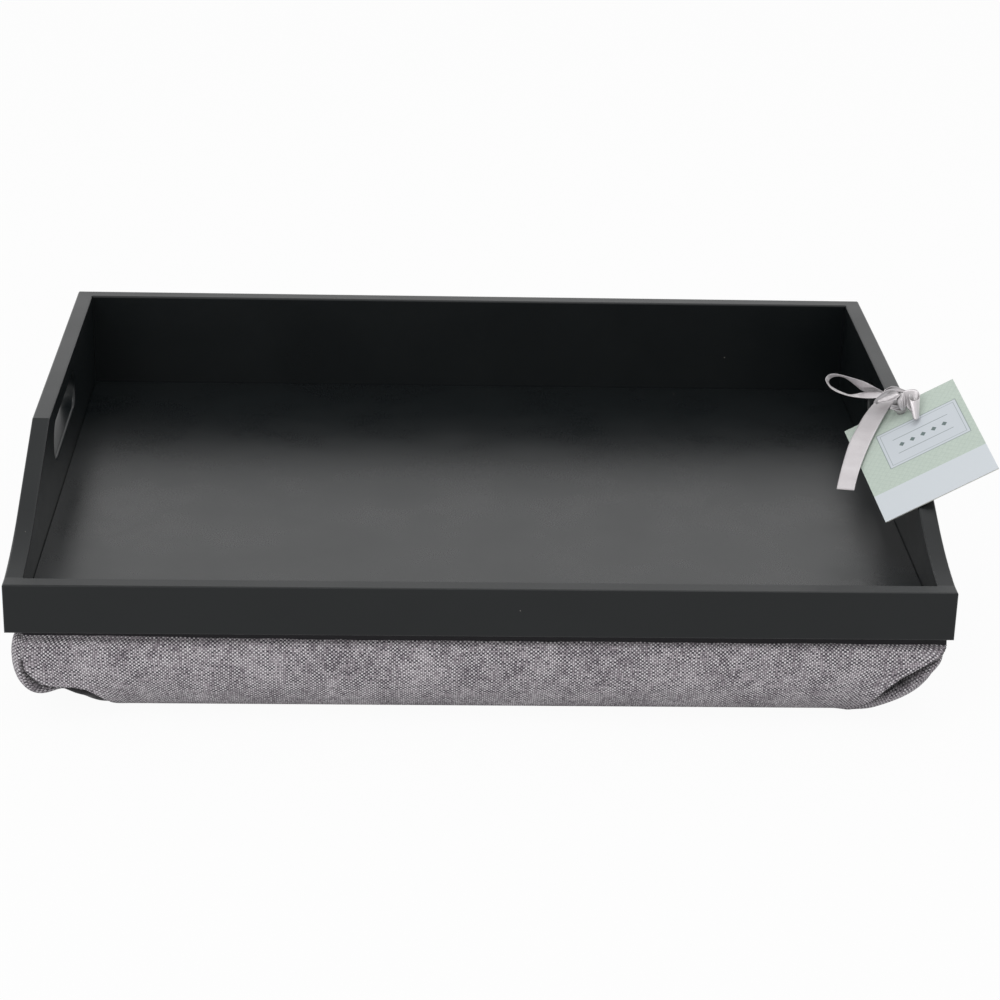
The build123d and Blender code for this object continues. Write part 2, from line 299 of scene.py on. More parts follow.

# The painted shadow of the tray's walls, a dark band at the top of the cloth: places from left to right, and
# how far down the profile it reaches there
PAINTED_WALL_SHADOW_mm = ((-228.0, -182.0, -158.0, -134.0, -85.0, -37.0), (3.0, 3.3, 3.6, 4.0, 4.3, 4.4))
PAINTED_WALL_SHADOW_EDGE_mm = 2.0

# Corner radius at some heights, for the three plain corners and for the full left front one
RADIUS_Z_mm = (0.0, 2.0, 5.5, 12.5, 22.5, 36.0, 48.0)
RADIUS_mm = {
    "plain": (62.0, 50.0, 33.0, 30.0, 27.0, 12.0, 9.0),
    "full": (62.0, 46.0, 27.0, 19.0, 15.0, 11.0, 9.0),
}

# Fold lines: place along the front or back from the tray's middle, and distance down the profile
FOLDS_mm = {
    "plain": (
        (227.4, -1.0), (227.2, 6.0), (224.6, 9.2), (221.8, 11.9), (213.3, 16.9), (204.2, 22.8),
        (197.1, 30.0), (189.0, 42.6), (182.0, 54.0), (176.0, 64.0), (162.0, 85.0),
    ),
    "full": (
        (223.0, -1.0), (222.2, 7.0), (221.8, 15.4), (219.9, 21.7), (215.9, 26.5),
        (212.1, 29.7), (205.1, 31.4), (198.0, 31.3), (190.9, 33.1), (184.8, 38.8),
        (181.5, 45.3), (177.5, 55.0), (173.0, 64.0), (161.3, 85.0),
    ),
}

# At each point of a fold line: how deep the pocket behind it is, and how far it reaches
POCKETS_mm = {
    "plain": (
        (1.5, 1.8, 3.0, 6.0, 13.0, 15.0, 9.0, 1.8, 0.4, 0.0, 0.0),
        (4, 4, 6, 8, 12, 13, 11, 9, 8, 8, 8),
    ),
    "full": (
        (0.5, 0.7, 1.3, 5.0, 9.5, 12.0, 10.0, 5.0, 4.0, 3.4, 1.6, 0.4, 0.0, 0.0),
        (3.5, 3.5, 3.5, 5, 8, 11, 11, 10, 9, 9, 9, 8, 8, 8),
    ),
}

# Swells and hollows of the side cloth: how far out, then the place and width of each along the front or back,
# and the same two down the profile
SWELLS_mm = {
    "plain": ((1.9, 184.0, 16.5, 58.9, 28.3),),
    "full": (
        (3.7, 210.7, 19.5, 28.3, 26.4), (-11.0, 206.0, 9.8, 50.9, 14.8), (-2.1, 190.2, 9.1, 45.7, 8.2),
    ),
}

# A fold's edge: how wide it is at a pocket, how much wider where there is none, and how much is added to that
# under the cushion, from this far down the profile and over this run. The last is the depth of the shallowest
# pocket that has a sharp edge.
EDGE_mm = 0.9
SOFT_SIDE_mm = 12.0
SOFT_BELOW_mm = 30.0
BELOW_FROM_mm, BELOW_RUN_mm = 60.0, 10.0
NO_POCKET_mm = 1.5

# How the cloth rises beside a fold: how far, within what reach, and the pocket depth from which it does so
# fully
RISE_mm, RISE_REACH_mm, RISE_DEPTH_mm = 0.7, 3.0, 5.0

# How far the edge of a fold hangs over its pocket, within what reach, the depth from which it does so fully,
# and how far it drops as a share of that
LIP_mm, LIP_REACH_mm, LIP_DEPTH_mm = 1.6, 7.0, 3.0
LIP_DROP = 0.3

# Where the cloth beneath the full corner takes the lining's dark tone: nearer the middle than this, and
# farther down the profile.
# Then how wide each of these two edges is, and the one at the fold.
DARK_CORNER_mm = (208.0, 27.0)
DARK_CORNER_EDGES_mm = (1.5, 2.0)
DARK_CORNER_FOLD_EDGE_mm = 0.6

# Half the distance along the profile over which its slope is taken
SLOPE_mm = 0.3

# The sizes of the rings that shut the cushion's top and underside, and the least rise of a face that isn't
# level
CAP_SHARES = (0.93, 0.8, 0.6, 0.4, 0.2)
LEVEL_RISE_mm = 0.02

# The distance between rows, then the columns in a corner, along the front or back, and along a side
FULL_MESH = (0.7, (300, 90, 56))


def hermite(x, xs, ys):
    """A smooth curve through points that doesn't overshoot."""
    xs, ys = np.asarray(xs, float), np.asarray(ys, float)
    h = np.diff(xs)
    d = np.diff(ys) / h
    inner = np.where(d[:-1] * d[1:] > 0, 2 * d[:-1] * d[1:] / (d[:-1] + d[1:] + 1e-12), 0)
    m = np.concatenate([[d[0]], inner, [d[-1]]])
    i = np.clip(np.searchsorted(xs, x) - 1, 0, len(h) - 1)
    t = np.clip((x - xs[i]) / h[i], 0, 1)
    ends = ys[i] * (1 + 2 * t) * (1 - t) ** 2 + ys[i + 1] * t * t * (3 - 2 * t)
    return ends + h[i] * t * (1 - t) * (m[i] * (1 - t) - m[i + 1] * t)


def lengths(points):
    """The distance along a line of points, at each of them."""
    return np.concatenate([[0], np.cumsum(np.linalg.norm(np.diff(points, axis=0), axis=1))])


def smooth(x):
    """A step from 0 to 1 with soft ends."""
    x = np.clip(x, 0, 1)
    return x * x * (3 - 2 * x)


DOWN_mm = lengths(PROFILE_mm)


def profile(t):
    """Draw-in and height at a distance down the profile."""
    return hermite(t, DOWN_mm, PROFILE_mm[:, 0]), hermite(t, DOWN_mm, PROFILE_mm[:, 1])


def to_fold(x, t, line):
    """Signed distance to a fold line, positive beyond it, and the place along it."""
    p = np.stack([x, t], -1)
    best, side, where = np.full(x.shape, np.inf), np.ones(x.shape), np.zeros(x.shape)
    for i in range(len(line) - 1):
        a, b = np.array(line[i], float), np.array(line[i + 1], float)
        way = b - a
        k = np.clip(((p - a) @ way) / (way @ way), 0, 1)
        off = p - (a + k[..., None] * way)
        dist = np.linalg.norm(off, axis=-1)
        nearer = dist < best
        turn = way[0] * off[..., 1] - way[1] * off[..., 0]
        best = np.where(nearer, dist, best)
        side = np.where(nearer, np.sign(-turn), side)
        where = np.where(nearer, i + k, where)
    return best * side, where


def corner_zone(t, q, kind, folded=True):
    """The points of one corner zone, as for the right front corner, and how far each takes the lining's dark
    tone.

    Rows lie at the distances t down the profile, and columns at the shares q of the way round the corner."""
    inset, z = profile(t)
    radius = hermite(z, RADIUS_Z_mm, RADIUS_mm[kind])[:, None]
    hx, hy = (HALF_mm[0] - inset)[:, None], (HALF_mm[1] - inset)[:, None]
    first = hx - radius - ZONE_mm[0]
    arc = radius * np.pi / 2
    s = q[None, :] * (first + arc + hy - radius - ZONE_mm[1])
    a = np.clip((s - first) / radius, 0, np.pi / 2)
    x = np.where(s < first, ZONE_mm[0] + s, hx - radius + radius * np.sin(a))
    y = np.where(s < first, -hy, -(hy - radius) - radius * np.cos(a)) + np.maximum(s - first - arc, 0)
    round_it, way_out = np.stack([x, y], -1), np.stack([np.sin(a), -np.cos(a)], -1)
    along = ZONE_mm[0] + s
    down = np.repeat(t[:, None], len(q), 1)
    dark = np.repeat(smooth((inset[:, None] - LINING_mm) / LINING_EDGE_mm + 0.5), len(q), 1)
    if not folded:
        return np.concatenate([round_it, np.repeat(z[:, None, None], len(q), 1), dark[..., None]], -1)

    # the front cloth runs straight on up to the fold line, and the side cloth lies behind it
    d, where = to_fold(along, down, FOLDS_mm[kind])
    straight = np.stack([along, np.repeat(-hy, len(q), 1)], -1)
    points = np.arange(len(FOLDS_mm[kind]))
    depth = np.interp(where, points, POCKETS_mm[kind][0])
    reach = np.interp(where, points, POCKETS_mm[kind][1])
    soft_edge = SOFT_SIDE_mm + SOFT_BELOW_mm * smooth((down - BELOW_FROM_mm) / BELOW_RUN_mm)
    over = smooth(0.5 - d / (EDGE_mm + soft_edge * smooth(1 - depth / NO_POCKET_mm)))[..., None]
    recess = depth * smooth(1 - np.clip(d, 0, None) / reach) * (d > 0)
    for high, x0, wide, t0, tall in SWELLS_mm[kind]:
        recess = recess - high * np.exp(-(((along - x0) / wide) ** 2) - ((down - t0) / tall) ** 2)
    lift = RISE_mm * np.exp(-np.abs(d) / RISE_REACH_mm) * smooth(depth / RISE_DEPTH_mm)
    push = over[..., 0] * lift - (1 - over[..., 0]) * recess
    (i1, z1), (i2, z2) = profile(t - SLOPE_mm), profile(t + SLOPE_mm)
    run = np.hypot(i2 - i1, z2 - z1)
    outward, downward = (z1 - z2) / run, (i1 - i2) / run
    flat = over * straight + (1 - over) * round_it
    normal = over * np.array([0.0, -1.0]) + (1 - over) * way_out
    flat = flat + normal * (push * outward[:, None])[..., None]

    # the edge of the front cloth hangs a little over the pocket behind it
    near_edge = smooth(1 + np.clip(d, None, 0) / LIP_REACH_mm)
    hang = LIP_mm * near_edge * over[..., 0] * np.clip(depth / LIP_DEPTH_mm, 0, 1)
    flat[..., 0] += hang
    high = np.maximum(z[:, None] + push * downward[:, None] - LIP_DROP * hang, 0)

    # the full corner's side cloth takes the lining's dark tone under the front cloth's lower edge
    if kind == "full":
        inward = smooth((DARK_CORNER_mm[0] - along) / DARK_CORNER_EDGES_mm[0])
        below = smooth((down - DARK_CORNER_mm[1]) / DARK_CORNER_EDGES_mm[1])
        dark = np.maximum(dark, inward * below * smooth(0.5 + d / DARK_CORNER_FOLD_EDGE_mm))
    return np.concatenate([flat, high[..., None], dark[..., None]], -1)


def straight_zone(start, end, steps):
    """Rows between two corner zones, which leaves out both their ends."""
    share = np.linspace(0, 1, steps + 1)[1:-1][None, :, None]
    return start[:, None, :] * (1 - share) + end[:, None, :] * share


def cushion_rings(t, corner_steps, front_steps, side_steps, folded=True):
    """Rows of the cushion, each a closed ring from the left end of the back and on over the left side."""
    near, far = np.linspace(0, 1, corner_steps), np.linspace(0, 1, corner_steps // 2)
    mirror_x, mirror_y = np.array([-1.0, 1, 1, 1]), np.array([1.0, -1, 1, 1])
    back = corner_zone(t, far, "plain", folded)
    right_front, right_back = corner_zone(t, near, "plain", folded), (back * mirror_y)[:, ::-1]
    left_back = back * mirror_x * mirror_y
    left_front = (corner_zone(t, near, "full", folded) * mirror_x)[:, ::-1]
    rings = np.concatenate([
        left_back,
        straight_zone(left_back[:, -1], left_front[:, 0], side_steps),
        left_front,
        straight_zone(left_front[:, -1], right_front[:, 0], front_steps),
        right_front,
        straight_zone(right_front[:, -1], right_back[:, 0], side_steps),
        right_back,
        straight_zone(right_back[:, -1], left_back[:, 0], front_steps),
    ], 1)
    # painted shadow: the tray's walls shade the top of the cloth, painted as a dark band in the lining's
    # tone, wider to the right
    wall_shadow = smooth((np.interp(rings[..., 0], *PAINTED_WALL_SHADOW_mm) - t[:, None]) / PAINTED_WALL_SHADOW_EDGE_mm + 0.5)
    rings[..., 3] = np.maximum(rings[..., 3], wall_shadow)
    return rings


def cap(ring):
    """Smaller and smaller rings inside one, at its own height."""
    middle = ring.mean(0)
    inner = [middle + (ring - middle) * share for share in CAP_SHARES]
    return np.stack(inner) * (1, 1, 0) + ring * (0, 0, 1)


def add_cloth_map(mesh, places):
    """Gives each corner of a mesh's faces its place on the cloth, in millimetres, as a UV map in metres."""
    mesh.uv_layers.new(name="cloth").data.foreach_set("uv", (places * 0.001).astype(np.float32).ravel())


def ring_mesh(name, t, rings, level_ring, dark):
    """A closed mesh from rings of points, with its places on the cloth and how far each point takes the dark
    tone of the lining and of the painted shadow under the tray.
    """
    columns = rings.shape[1]
    points = np.concatenate([cap(rings[0])[::-1], rings, cap(rings[-1])])
    count = len(points)
    i, j = np.arange(count - 1)[:, None], np.arange(columns)[None, :]
    after = (j + 1) % columns
    quads = [i * columns + j, (i + 1) * columns + j, (i + 1) * columns + after, i * columns + after]
    faces = np.stack(quads, -1)
    ends = [list(range(columns)), list(range((count - 1) * columns, count * columns))[::-1]]
    mesh = bpy.data.meshes.new(name)
    mesh.from_pydata((points * 0.001).reshape(-1, 3).tolist(), [], faces.reshape(-1, 4).tolist() + ends)

    # along the cloth: round a ring without folds, and down the profile; flat on top and beneath
    round_it = lengths(np.concatenate([level_ring, level_ring[:1]]))
    caps = len(CAP_SHARES)
    down = np.concatenate([np.full(caps, t[0]), t, np.full(caps, t[-1])])
    i, j = np.broadcast_arrays(i, j)
    corners = np.stack([
        np.stack([round_it[j], down[i]], -1), np.stack([round_it[j], down[i + 1]], -1),
        np.stack([round_it[j + 1], down[i + 1]], -1), np.stack([round_it[j + 1], down[i]], -1),
    ], 2)
    level = np.abs(np.diff(points[..., 2], axis=0)) < LEVEL_RISE_mm
    corners = np.where(level[..., None, None], points[..., :2].reshape(-1, 2)[faces], corners)
    last = points[[0, -1]][..., :2]
    add_cloth_map(mesh, np.concatenate([corners.reshape(-1, 2), last[0], last[1][::-1]]))
    # each point's dark share, for the lining and for the painted shadow under the tray
    cap_dark = np.ones((caps, columns))
    shares = np.concatenate([cap_dark, dark, cap_dark]).astype(np.float32)
    mesh.attributes.new("lining_and_painted_shadow", "FLOAT", "POINT").data.foreach_set("value", shares.ravel())
    mesh.shade_smooth()
    return add_object(name, mesh)


# Linen: the spacing of its threads round the cushion and down it, how far they stray, and how many of their
# strays lie along a metre
THREAD_SPACING = (0.00105, 0.00090)
THREAD_STRAY = 0.0024
STRAYS_PER_METRE = 60.0

# How round a thread is across and how humped along, and how far the threads of each way differ from the
# middle tone
THREAD_ROUND = 3.4
THREAD_HUMP = 1.9
THREAD_CONTRAST = 0.13

# How the tone of a thread changes: from one thread to the next, and along it. Then how far patches of the
# cloth differ in tone.
TONE_STEP = 7.31
TONE_ALONG = 0.16
PATCH_CONTRAST = 0.06

# The gaps between threads, with painted shade: the height under which they darken, and the share of light
# left deep down in them
GAP_HEIGHT = 0.75
GAP_LIGHT = 0.12

# How uneven the edge of the lining and of the painted shadow under the tray is, and the shares between which
# the cloth gives way to their dark tone
LINING_AND_SHADOW_UNEVEN = 0.2
LINING_AND_SHADOW_SHARES = (0.42, 0.58)

# The cloth's tones, by their place in its range, and the colour of the lining, which is also that of the
# painted shadow under the tray
LINEN_TONES = ((0.30, rgb(78, 74, 83)), (0.5, rgb(190, 180, 188)), (0.70, rgb(255, 251, 255)))
LINING_AND_SHADOW_TONE = rgb(45, 44, 47)


def linen(name):
    """A coarse plain weave of light, middle and dark grey threads, with slubs, and painted shade in its gaps
    and folds.
    """
    m = Surface(name)
    cloth = m.node("ShaderNodeUVMap", uv_map="cloth").outputs["UV"]
    wander = m.node("ShaderNodeTexNoise", {"Scale": STRAYS_PER_METRE, "Detail": 2.0, "Vector": m.place()})
    sway = m.vector("SUBTRACT", wander.outputs["Color"], (0.5, 0.5, 0.5)).outputs[0]
    moved = m.vector("MULTIPLY_ADD", sway, (THREAD_STRAY, THREAD_STRAY, 0), cloth).outputs[0]
    thread = m.vector("MULTIPLY", moved, (1 / THREAD_SPACING[0], 1 / THREAD_SPACING[1], 0))
    split = m.node("ShaderNodeSeparateXYZ", {"Vector": thread.outputs[0]})
    u, v = split.outputs[0], split.outputs[1]
    cell_u, cell_v = m.math("FLOOR", u), m.math("FLOOR", v)
    part_u, part_v = m.minus(m.minus(u, cell_u), 0.5), m.minus(m.minus(v, cell_v), 0.5)
    odd = m.math("FLOORED_MODULO", m.add(cell_u, cell_v), 2.0)

    def bent(part, share):
        """A hump in the middle of a thread's cell, down to nothing at its ends."""
        return m.larger(m.minus(1.0, m.times(m.times(part, part), share)), 0.0)

    def hump(across, along):
        """The height of a thread where it lies on top, round across and humped along."""
        return m.times(bent(across, THREAD_ROUND), bent(along, THREAD_HUMP))

    def on_top(down, round_it):
        """A value of whichever thread lies on top."""
        return m.add(m.times(down, odd), m.times(round_it, m.minus(1.0, odd)))

    def thread_tone(index, along, seed):
        """How light a thread is: each has its own tone, which changes slowly along it."""
        across = m.add(m.times(index, TONE_STEP), seed)
        spot = m.node("ShaderNodeCombineXYZ", {"X": across, "Y": m.times(along, TONE_ALONG)})
        return m.noise(spot.outputs[0], scale=1.0, detail=3.0, rough=0.7)

    height = on_top(hump(part_u, part_v), hump(part_v, part_u))
    tone = on_top(thread_tone(cell_u, v, seed=3.7), thread_tone(cell_v, u, seed=91.3))
    tone = m.add(tone, m.range(odd, 0.0, 1.0, -THREAD_CONTRAST, THREAD_CONTRAST))
    patch = m.noise(m.place(), scale=50.0, detail=3, rough=0.6)
    tone = m.add(tone, m.spread(patch, -PATCH_CONTRAST, PATCH_CONTRAST))
    shade = m.node("ShaderNodeValToRGB", {0: tone})
    tones = shade.color_ramp.elements
    (low, dark_thread), (half, middle_thread), (high, light_thread) = LINEN_TONES
    tones[0].position, tones[0].color = low, dark_thread
    tones[1].position, tones[1].color = high, light_thread
    tones.new(half).color = middle_thread
    # painted shade deep in the gaps between threads
    weave_with_gap_shade = m.darkened(shade.outputs[0], m.range(height, 0.0, GAP_HEIGHT, GAP_LIGHT, 1.0))
    # the dark share: the lining, and the painted shadow under the tray's walls
    share = m.node("ShaderNodeAttribute", attribute_name="lining_and_painted_shadow").outputs["Fac"]
    uneven = m.add(share, m.spread(patch, -LINING_AND_SHADOW_UNEVEN, LINING_AND_SHADOW_UNEVEN))
    lining_and_painted_shadow = m.range(uneven, *LINING_AND_SHADOW_SHARES, 0.0, 1.0)
    cover = m.mix(lining_and_painted_shadow, weave_with_gap_shade, LINING_AND_SHADOW_TONE)
    cloth_height = m.times(height, m.minus(1.0, lining_and_painted_shadow))
    # the base colour holds painted shade in the cushion's folds and pockets
    m.set(
        Base_Color=m.painted_crease_shade(cover, reach=0.016, power=3.2),
        Normal=m.bump(cloth_height, strength=0.9, distance=0.0004),
        Roughness=0.9, Sheen_Weight=0.25, Sheen_Roughness=0.5, IOR=1.35,
    )
    return m.material


def make_cushion():
    row_step, steps = FULL_MESH
    t = np.linspace(0, DOWN_mm[-1], int(DOWN_mm[-1] / row_step) + 1)
    rings = cushion_rings(t, *steps)
    level_ring = cushion_rings(np.array([LEVEL_mm]), *steps, folded=False)[0, :, :3]
    cushion = ring_mesh("cushion", t, rings[..., :3], level_ring, rings[..., 3])
    cushion.data.materials.append(linen("linen_cloth"))
    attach(cushion, "tray")
    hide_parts("cushion_cover", "bead_bag")


make_cushion()


# Ribbon and card, in millimetres. A ribbon is a strip between two edges. Each station of a strip gives the
# pixel of the photograph where one edge is seen and its lift off a plane, then the same for the other edge.
# A seventh number, where there is one, is how far the middle rises between them.

PHOTO_SIZE = 1000
HINGE = frame["record"]["behaviour"]["joints"][0]

# The card's plane: the hole that it hangs by, its normal, and the ways across it and up it
HOLE_mm = np.array(HINGE["pos_m"]) * 1000
CARD_NORMAL = np.array(HINGE["axis"])
CARD_LEAN = math.radians(28.9)
CARD_ACROSS = np.array([math.cos(CARD_LEAN), 0, math.sin(CARD_LEAN)])
CARD_UP = np.cross(CARD_NORMAL, CARD_ACROSS)

# The plane that the bow faces the viewer in, through the middle of the knot
KNOT_LIFT_mm = 5.55
KNOT_mm = HOLE_mm + KNOT_LIFT_mm * CARD_NORMAL
BOW_LEAN = math.radians(23)
BOW_NORMAL = np.array([0, -math.cos(BOW_LEAN), math.sin(BOW_LEAN)])

# The ribbon's width and thickness, and its pleats: how many there are across it, and how far they are shifted
# as a share of half its width
RIBBON_WIDE_mm = 10.0
RIBBON_THICK_mm = 0.22
PLEATS = 3
PLEAT_SHIFT = 0.1

# Steps from one station to the next, and across the ribbon where it is smooth and where it has pleats
STATION_STEPS = 8
SMOOTH_STEPS, PLEATED_STEPS = 12, 24


def seen(x, y, origin, normal, lift):
    """The point that a pixel of the photograph shows, on a plane that is lifted along its normal."""
    turn = np.array(scene.camera.matrix_world)
    eye = turn[:3, 3] * 1000
    focal = scene.camera.data.lens / scene.camera.data.sensor_width * PHOTO_SIZE
    way = turn[:3, :3] @ np.array([x - PHOTO_SIZE / 2, PHOTO_SIZE / 2 - y, -focal])
    return eye + way * (((origin - eye) @ normal + lift) / (way @ normal))


def stations(table, plane, second_plane=None):
    """The two edges of a strip, and its rise in the middle, at each station of a table."""
    left = np.array([seen(row[0], row[1], *plane, row[2]) for row in table])
    right = np.array([seen(row[3], row[4], *(second_plane or plane), row[5]) for row in table])
    rise = np.array([row[6] if len(row) > 6 else 0.0 for row in table])
    return left, right, rise


def spline(points):
    """A smooth curve through points, with the same number of steps between each two."""
    ends = [2 * points[:1] - points[1:2], 2 * points[-1:] - points[-2:-1]]
    p = np.concatenate([ends[0], points, ends[1]])
    out = []
    for i in range(1, len(p) - 2):
        a, b, c, d = p[i - 1], p[i], p[i + 1], p[i + 2]
        for k in range(STATION_STEPS):
            s = k / STATION_STEPS
            bend, twist = 2 * a - 5 * b + 4 * c - d, 3 * b - a - 3 * c + d
            out.append(0.5 * (2 * b + (c - a) * s + bend * s**2 + twist * s**3))
    return np.array(out + [points[-1]])


def strip(left, right, rise, across=SMOOTH_STEPS, pleat_mm=0.0):
    """A closed thin strip between two edges: its points, its faces and its places on the cloth."""
    left, right, rise = spline(left), spline(right), spline(rise)
    middle = (left + right) / 2
    along = np.gradient(middle, axis=0)
    out = np.cross(along, right - left)
    out = out / np.linalg.norm(out, axis=1, keepdims=True)
    v = np.linspace(-1, 1, across + 1)[None, :, None]
    top = middle[:, None] + (right - left)[:, None] * v / 2 + (out * rise[:, None])[:, None] * (1 - v * v)
    ends = np.sin(np.linspace(0, np.pi, len(middle)))[:, None, None]
    pleats = np.cos(PLEATS * np.pi * (v + PLEAT_SHIFT))
    top = top + out[:, None] * pleat_mm * ends * (1 - v * v) * pleats
    du, dv = np.gradient(top, axis=0), np.gradient(top, axis=1)
    normal = np.cross(du, dv)
    normal = normal / np.linalg.norm(normal, axis=2, keepdims=True)
    low = top - normal * RIBBON_THICK_mm
    rows, columns = top.shape[:2]
    size = rows * columns
    faces = []
    for i in range(rows - 1):
        for j in range(columns - 1):
            first = i * columns + j
            quad = (first, first + columns, first + columns + 1, first + 1)
            faces += [quad, tuple(size + k for k in quad[::-1])]

    # the rim: along the first row, down the last column, back along the last row and up the first column
    rim = list(range(columns)) + [i * columns + columns - 1 for i in range(1, rows)]
    rim += [size - columns + j for j in range(columns - 2, -1, -1)]
    rim += [i * columns for i in range(rows - 2, 0, -1)]
    faces += [(a, b, size + b, size + a) for a, b in zip(rim, rim[1:] + rim[:1])]
    places = np.broadcast_arrays(lengths(middle)[:, None], RIBBON_WIDE_mm / 2 * v[..., 0])
    place = np.stack(places, -1).reshape(-1, 2)
    return np.concatenate([top.reshape(-1, 3), low.reshape(-1, 3)]), faces, np.concatenate([place, place])


def ribbon_piece(name, strips, replaced, satin):
    """One ribbon piece from strips, which stands for a CAD node."""
    points, faces, places, count = [], [], [], 0
    for p, f, uv in strips:
        faces += [tuple(i + count for i in face) for face in f]
        points.append(p)
        places.append(uv)
        count += len(p)
    points, places = np.concatenate(points), np.concatenate(places)
    mesh = bpy.data.meshes.new(name)
    mesh.from_pydata((points * 0.001).tolist(), [], faces)
    corner = np.zeros(len(mesh.loops), np.int32)
    mesh.loops.foreach_get("vertex_index", corner)
    add_cloth_map(mesh, places[corner])
    mesh.shade_smooth()
    obj = add_object(name, mesh)
    mesh.materials.append(satin)
    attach(obj, "tray")
    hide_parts(replaced)
    return obj


# Silver satin: its two tones, that of its darker threads and how much they show, and its range of roughness
SATIN_TONES = (rgb(210, 205, 207), rgb(228, 224, 226))
SATIN_THREAD = rgb(190, 183, 187)
SATIN_THREAD_SHARE = 0.35
SATIN_ROUGH = (0.27, 0.36)


def satin_cloth(name, reach, power, metallic):
    """Silver satin: fine threads across the ribbon, a soft broad shine along it, and painted shade in its
    creases.
    """
    m = Surface(name)
    cloth = m.node("ShaderNodeUVMap", uv_map="cloth").outputs["UV"]
    threads = m.noise(m.scaled(cloth, 9000, 500, 1), scale=1.0, detail=2, rough=0.5)
    folds = m.noise(m.scaled(cloth, 120, 40, 1), scale=1.0, detail=2, rough=0.5)
    tone = m.mix(m.spread(folds, 0, 1), *SATIN_TONES)
    threaded = m.mix(m.spread(threads, 0.0, SATIN_THREAD_SHARE), tone, SATIN_THREAD)
    m.set(
        Base_Color=m.painted_crease_shade(threaded, reach, power),
        Roughness=m.spread(folds, *SATIN_ROUGH),
        Normal=m.bump(threads, strength=0.12, distance=0.0002),
        Metallic=metallic, Sheen_Weight=0.3, Sheen_Roughness=0.35, IOR=1.5, Specular_IOR_Level=1.0,
    )
    return m.material


# reach and power: how far and how strongly the painted shade in the satin's creases spreads
open_satin = satin_cloth("satin_ribbon", reach=0.003, power=1.2, metallic=0.0)
tied_satin = satin_cloth("satin_ribbon_tied", reach=0.008, power=1.5, metallic=0.35)

# The tail, from under the knot over the card's corner to its square cut, lifted off the card
TAIL_px = (
    (876.0, 400.5, 4.6, 896.0, 398.5, 4.6), (869.7, 408.0, 4.2, 889.4, 407.5, 4.0, 0.3),
    (863.2, 416.7, 3.4, 882.4, 419.0, 3.2, 0.4), (855.5, 430.4, 2.7, 874.4, 433.9, 2.7, 0.3),
    (849.4, 442.5, 2.4, 868.4, 446.8, 2.4, 0.2), (844.3, 458.0, 2.4, 863.0, 459.7, 2.4, 0.1),
    (840.0, 473.5, 2.7, 858.0, 474.3, 2.7), (836.4, 489.0, 3.4, 854.0, 490.3, 3.4),
)

# The long loop: its near edge, then its far edge, lifted off the bow's plane towards the viewer
LONG_LOOP_px = (
    (889.5, 396.0, -1.0, 888.0, 398.0, -4.0), (883.9, 392.4, -0.5, 881.3, 395.1, -5.0),
    (875.3, 387.6, 1.0, 871.8, 391.9, -6.2), (864.9, 382.2, 3.0, 862.8, 391.1, -5.6),
    (853.7, 378.6, 4.4, 855.5, 385.7, -4.6), (843.4, 375.7, 4.9, 846.5, 378.9, -4.8),
    (835.2, 374.1, 4.9, 838.6, 376.5, -4.8), (829.2, 375.0, 4.9, 832.0, 377.8, -4.8),
    (825.9, 378.5, 4.9, 829.0, 380.9, -4.8), (827.3, 383.3, 4.9, 829.7, 384.4, -4.8),
    (831.6, 388.5, 5.0, 833.4, 387.5, -4.9), (839.1, 392.6, 5.0, 840.8, 391.3, -4.9),
    (848.6, 395.6, 5.0, 849.2, 394.2, -4.8), (858.0, 397.2, 4.9, 856.5, 393.6, -4.2),
    (868.4, 398.0, 4.6, 866.7, 391.2, -2.6), (877.0, 397.8, 4.0, 875.3, 391.0, -1.0),
    (884.0, 397.2, 3.0, 882.6, 393.0, 0.0), (889.0, 397.0, 2.0, 888.0, 395.0, 0.0),
)

# The short loop, which stands beside the knot: the edge at its mouth, lifted off the bow's plane, then its
# lower edge, lifted off the card
SHORT_LOOP_px = (
    (898.0, 394.5, 2.0, 899.0, 401.0, 7.0), (902.6, 391.8, 2.0, 904.5, 405.0, 5.4),
    (907.6, 389.9, 1.8, 909.0, 410.0, 3.4), (913.6, 389.3, 1.6, 913.4, 414.0, 1.8),
    (918.0, 391.0, 2.4, 917.8, 416.6, 1.3), (919.8, 395.0, 4.6, 919.2, 417.6, 2.0),
    (918.8, 398.9, 5.8, 918.6, 418.9, 2.6), (914.6, 400.7, 8.0, 916.0, 420.1, 3.8),
    (910.6, 400.0, 7.6, 913.4, 418.6, 4.2), (908.8, 397.6, 6.6, 911.6, 413.0, 5.0),
    (909.2, 394.8, 6.2, 911.0, 405.6, 6.2), (911.6, 393.4, 5.2, 912.4, 400.0, 7.2),
)

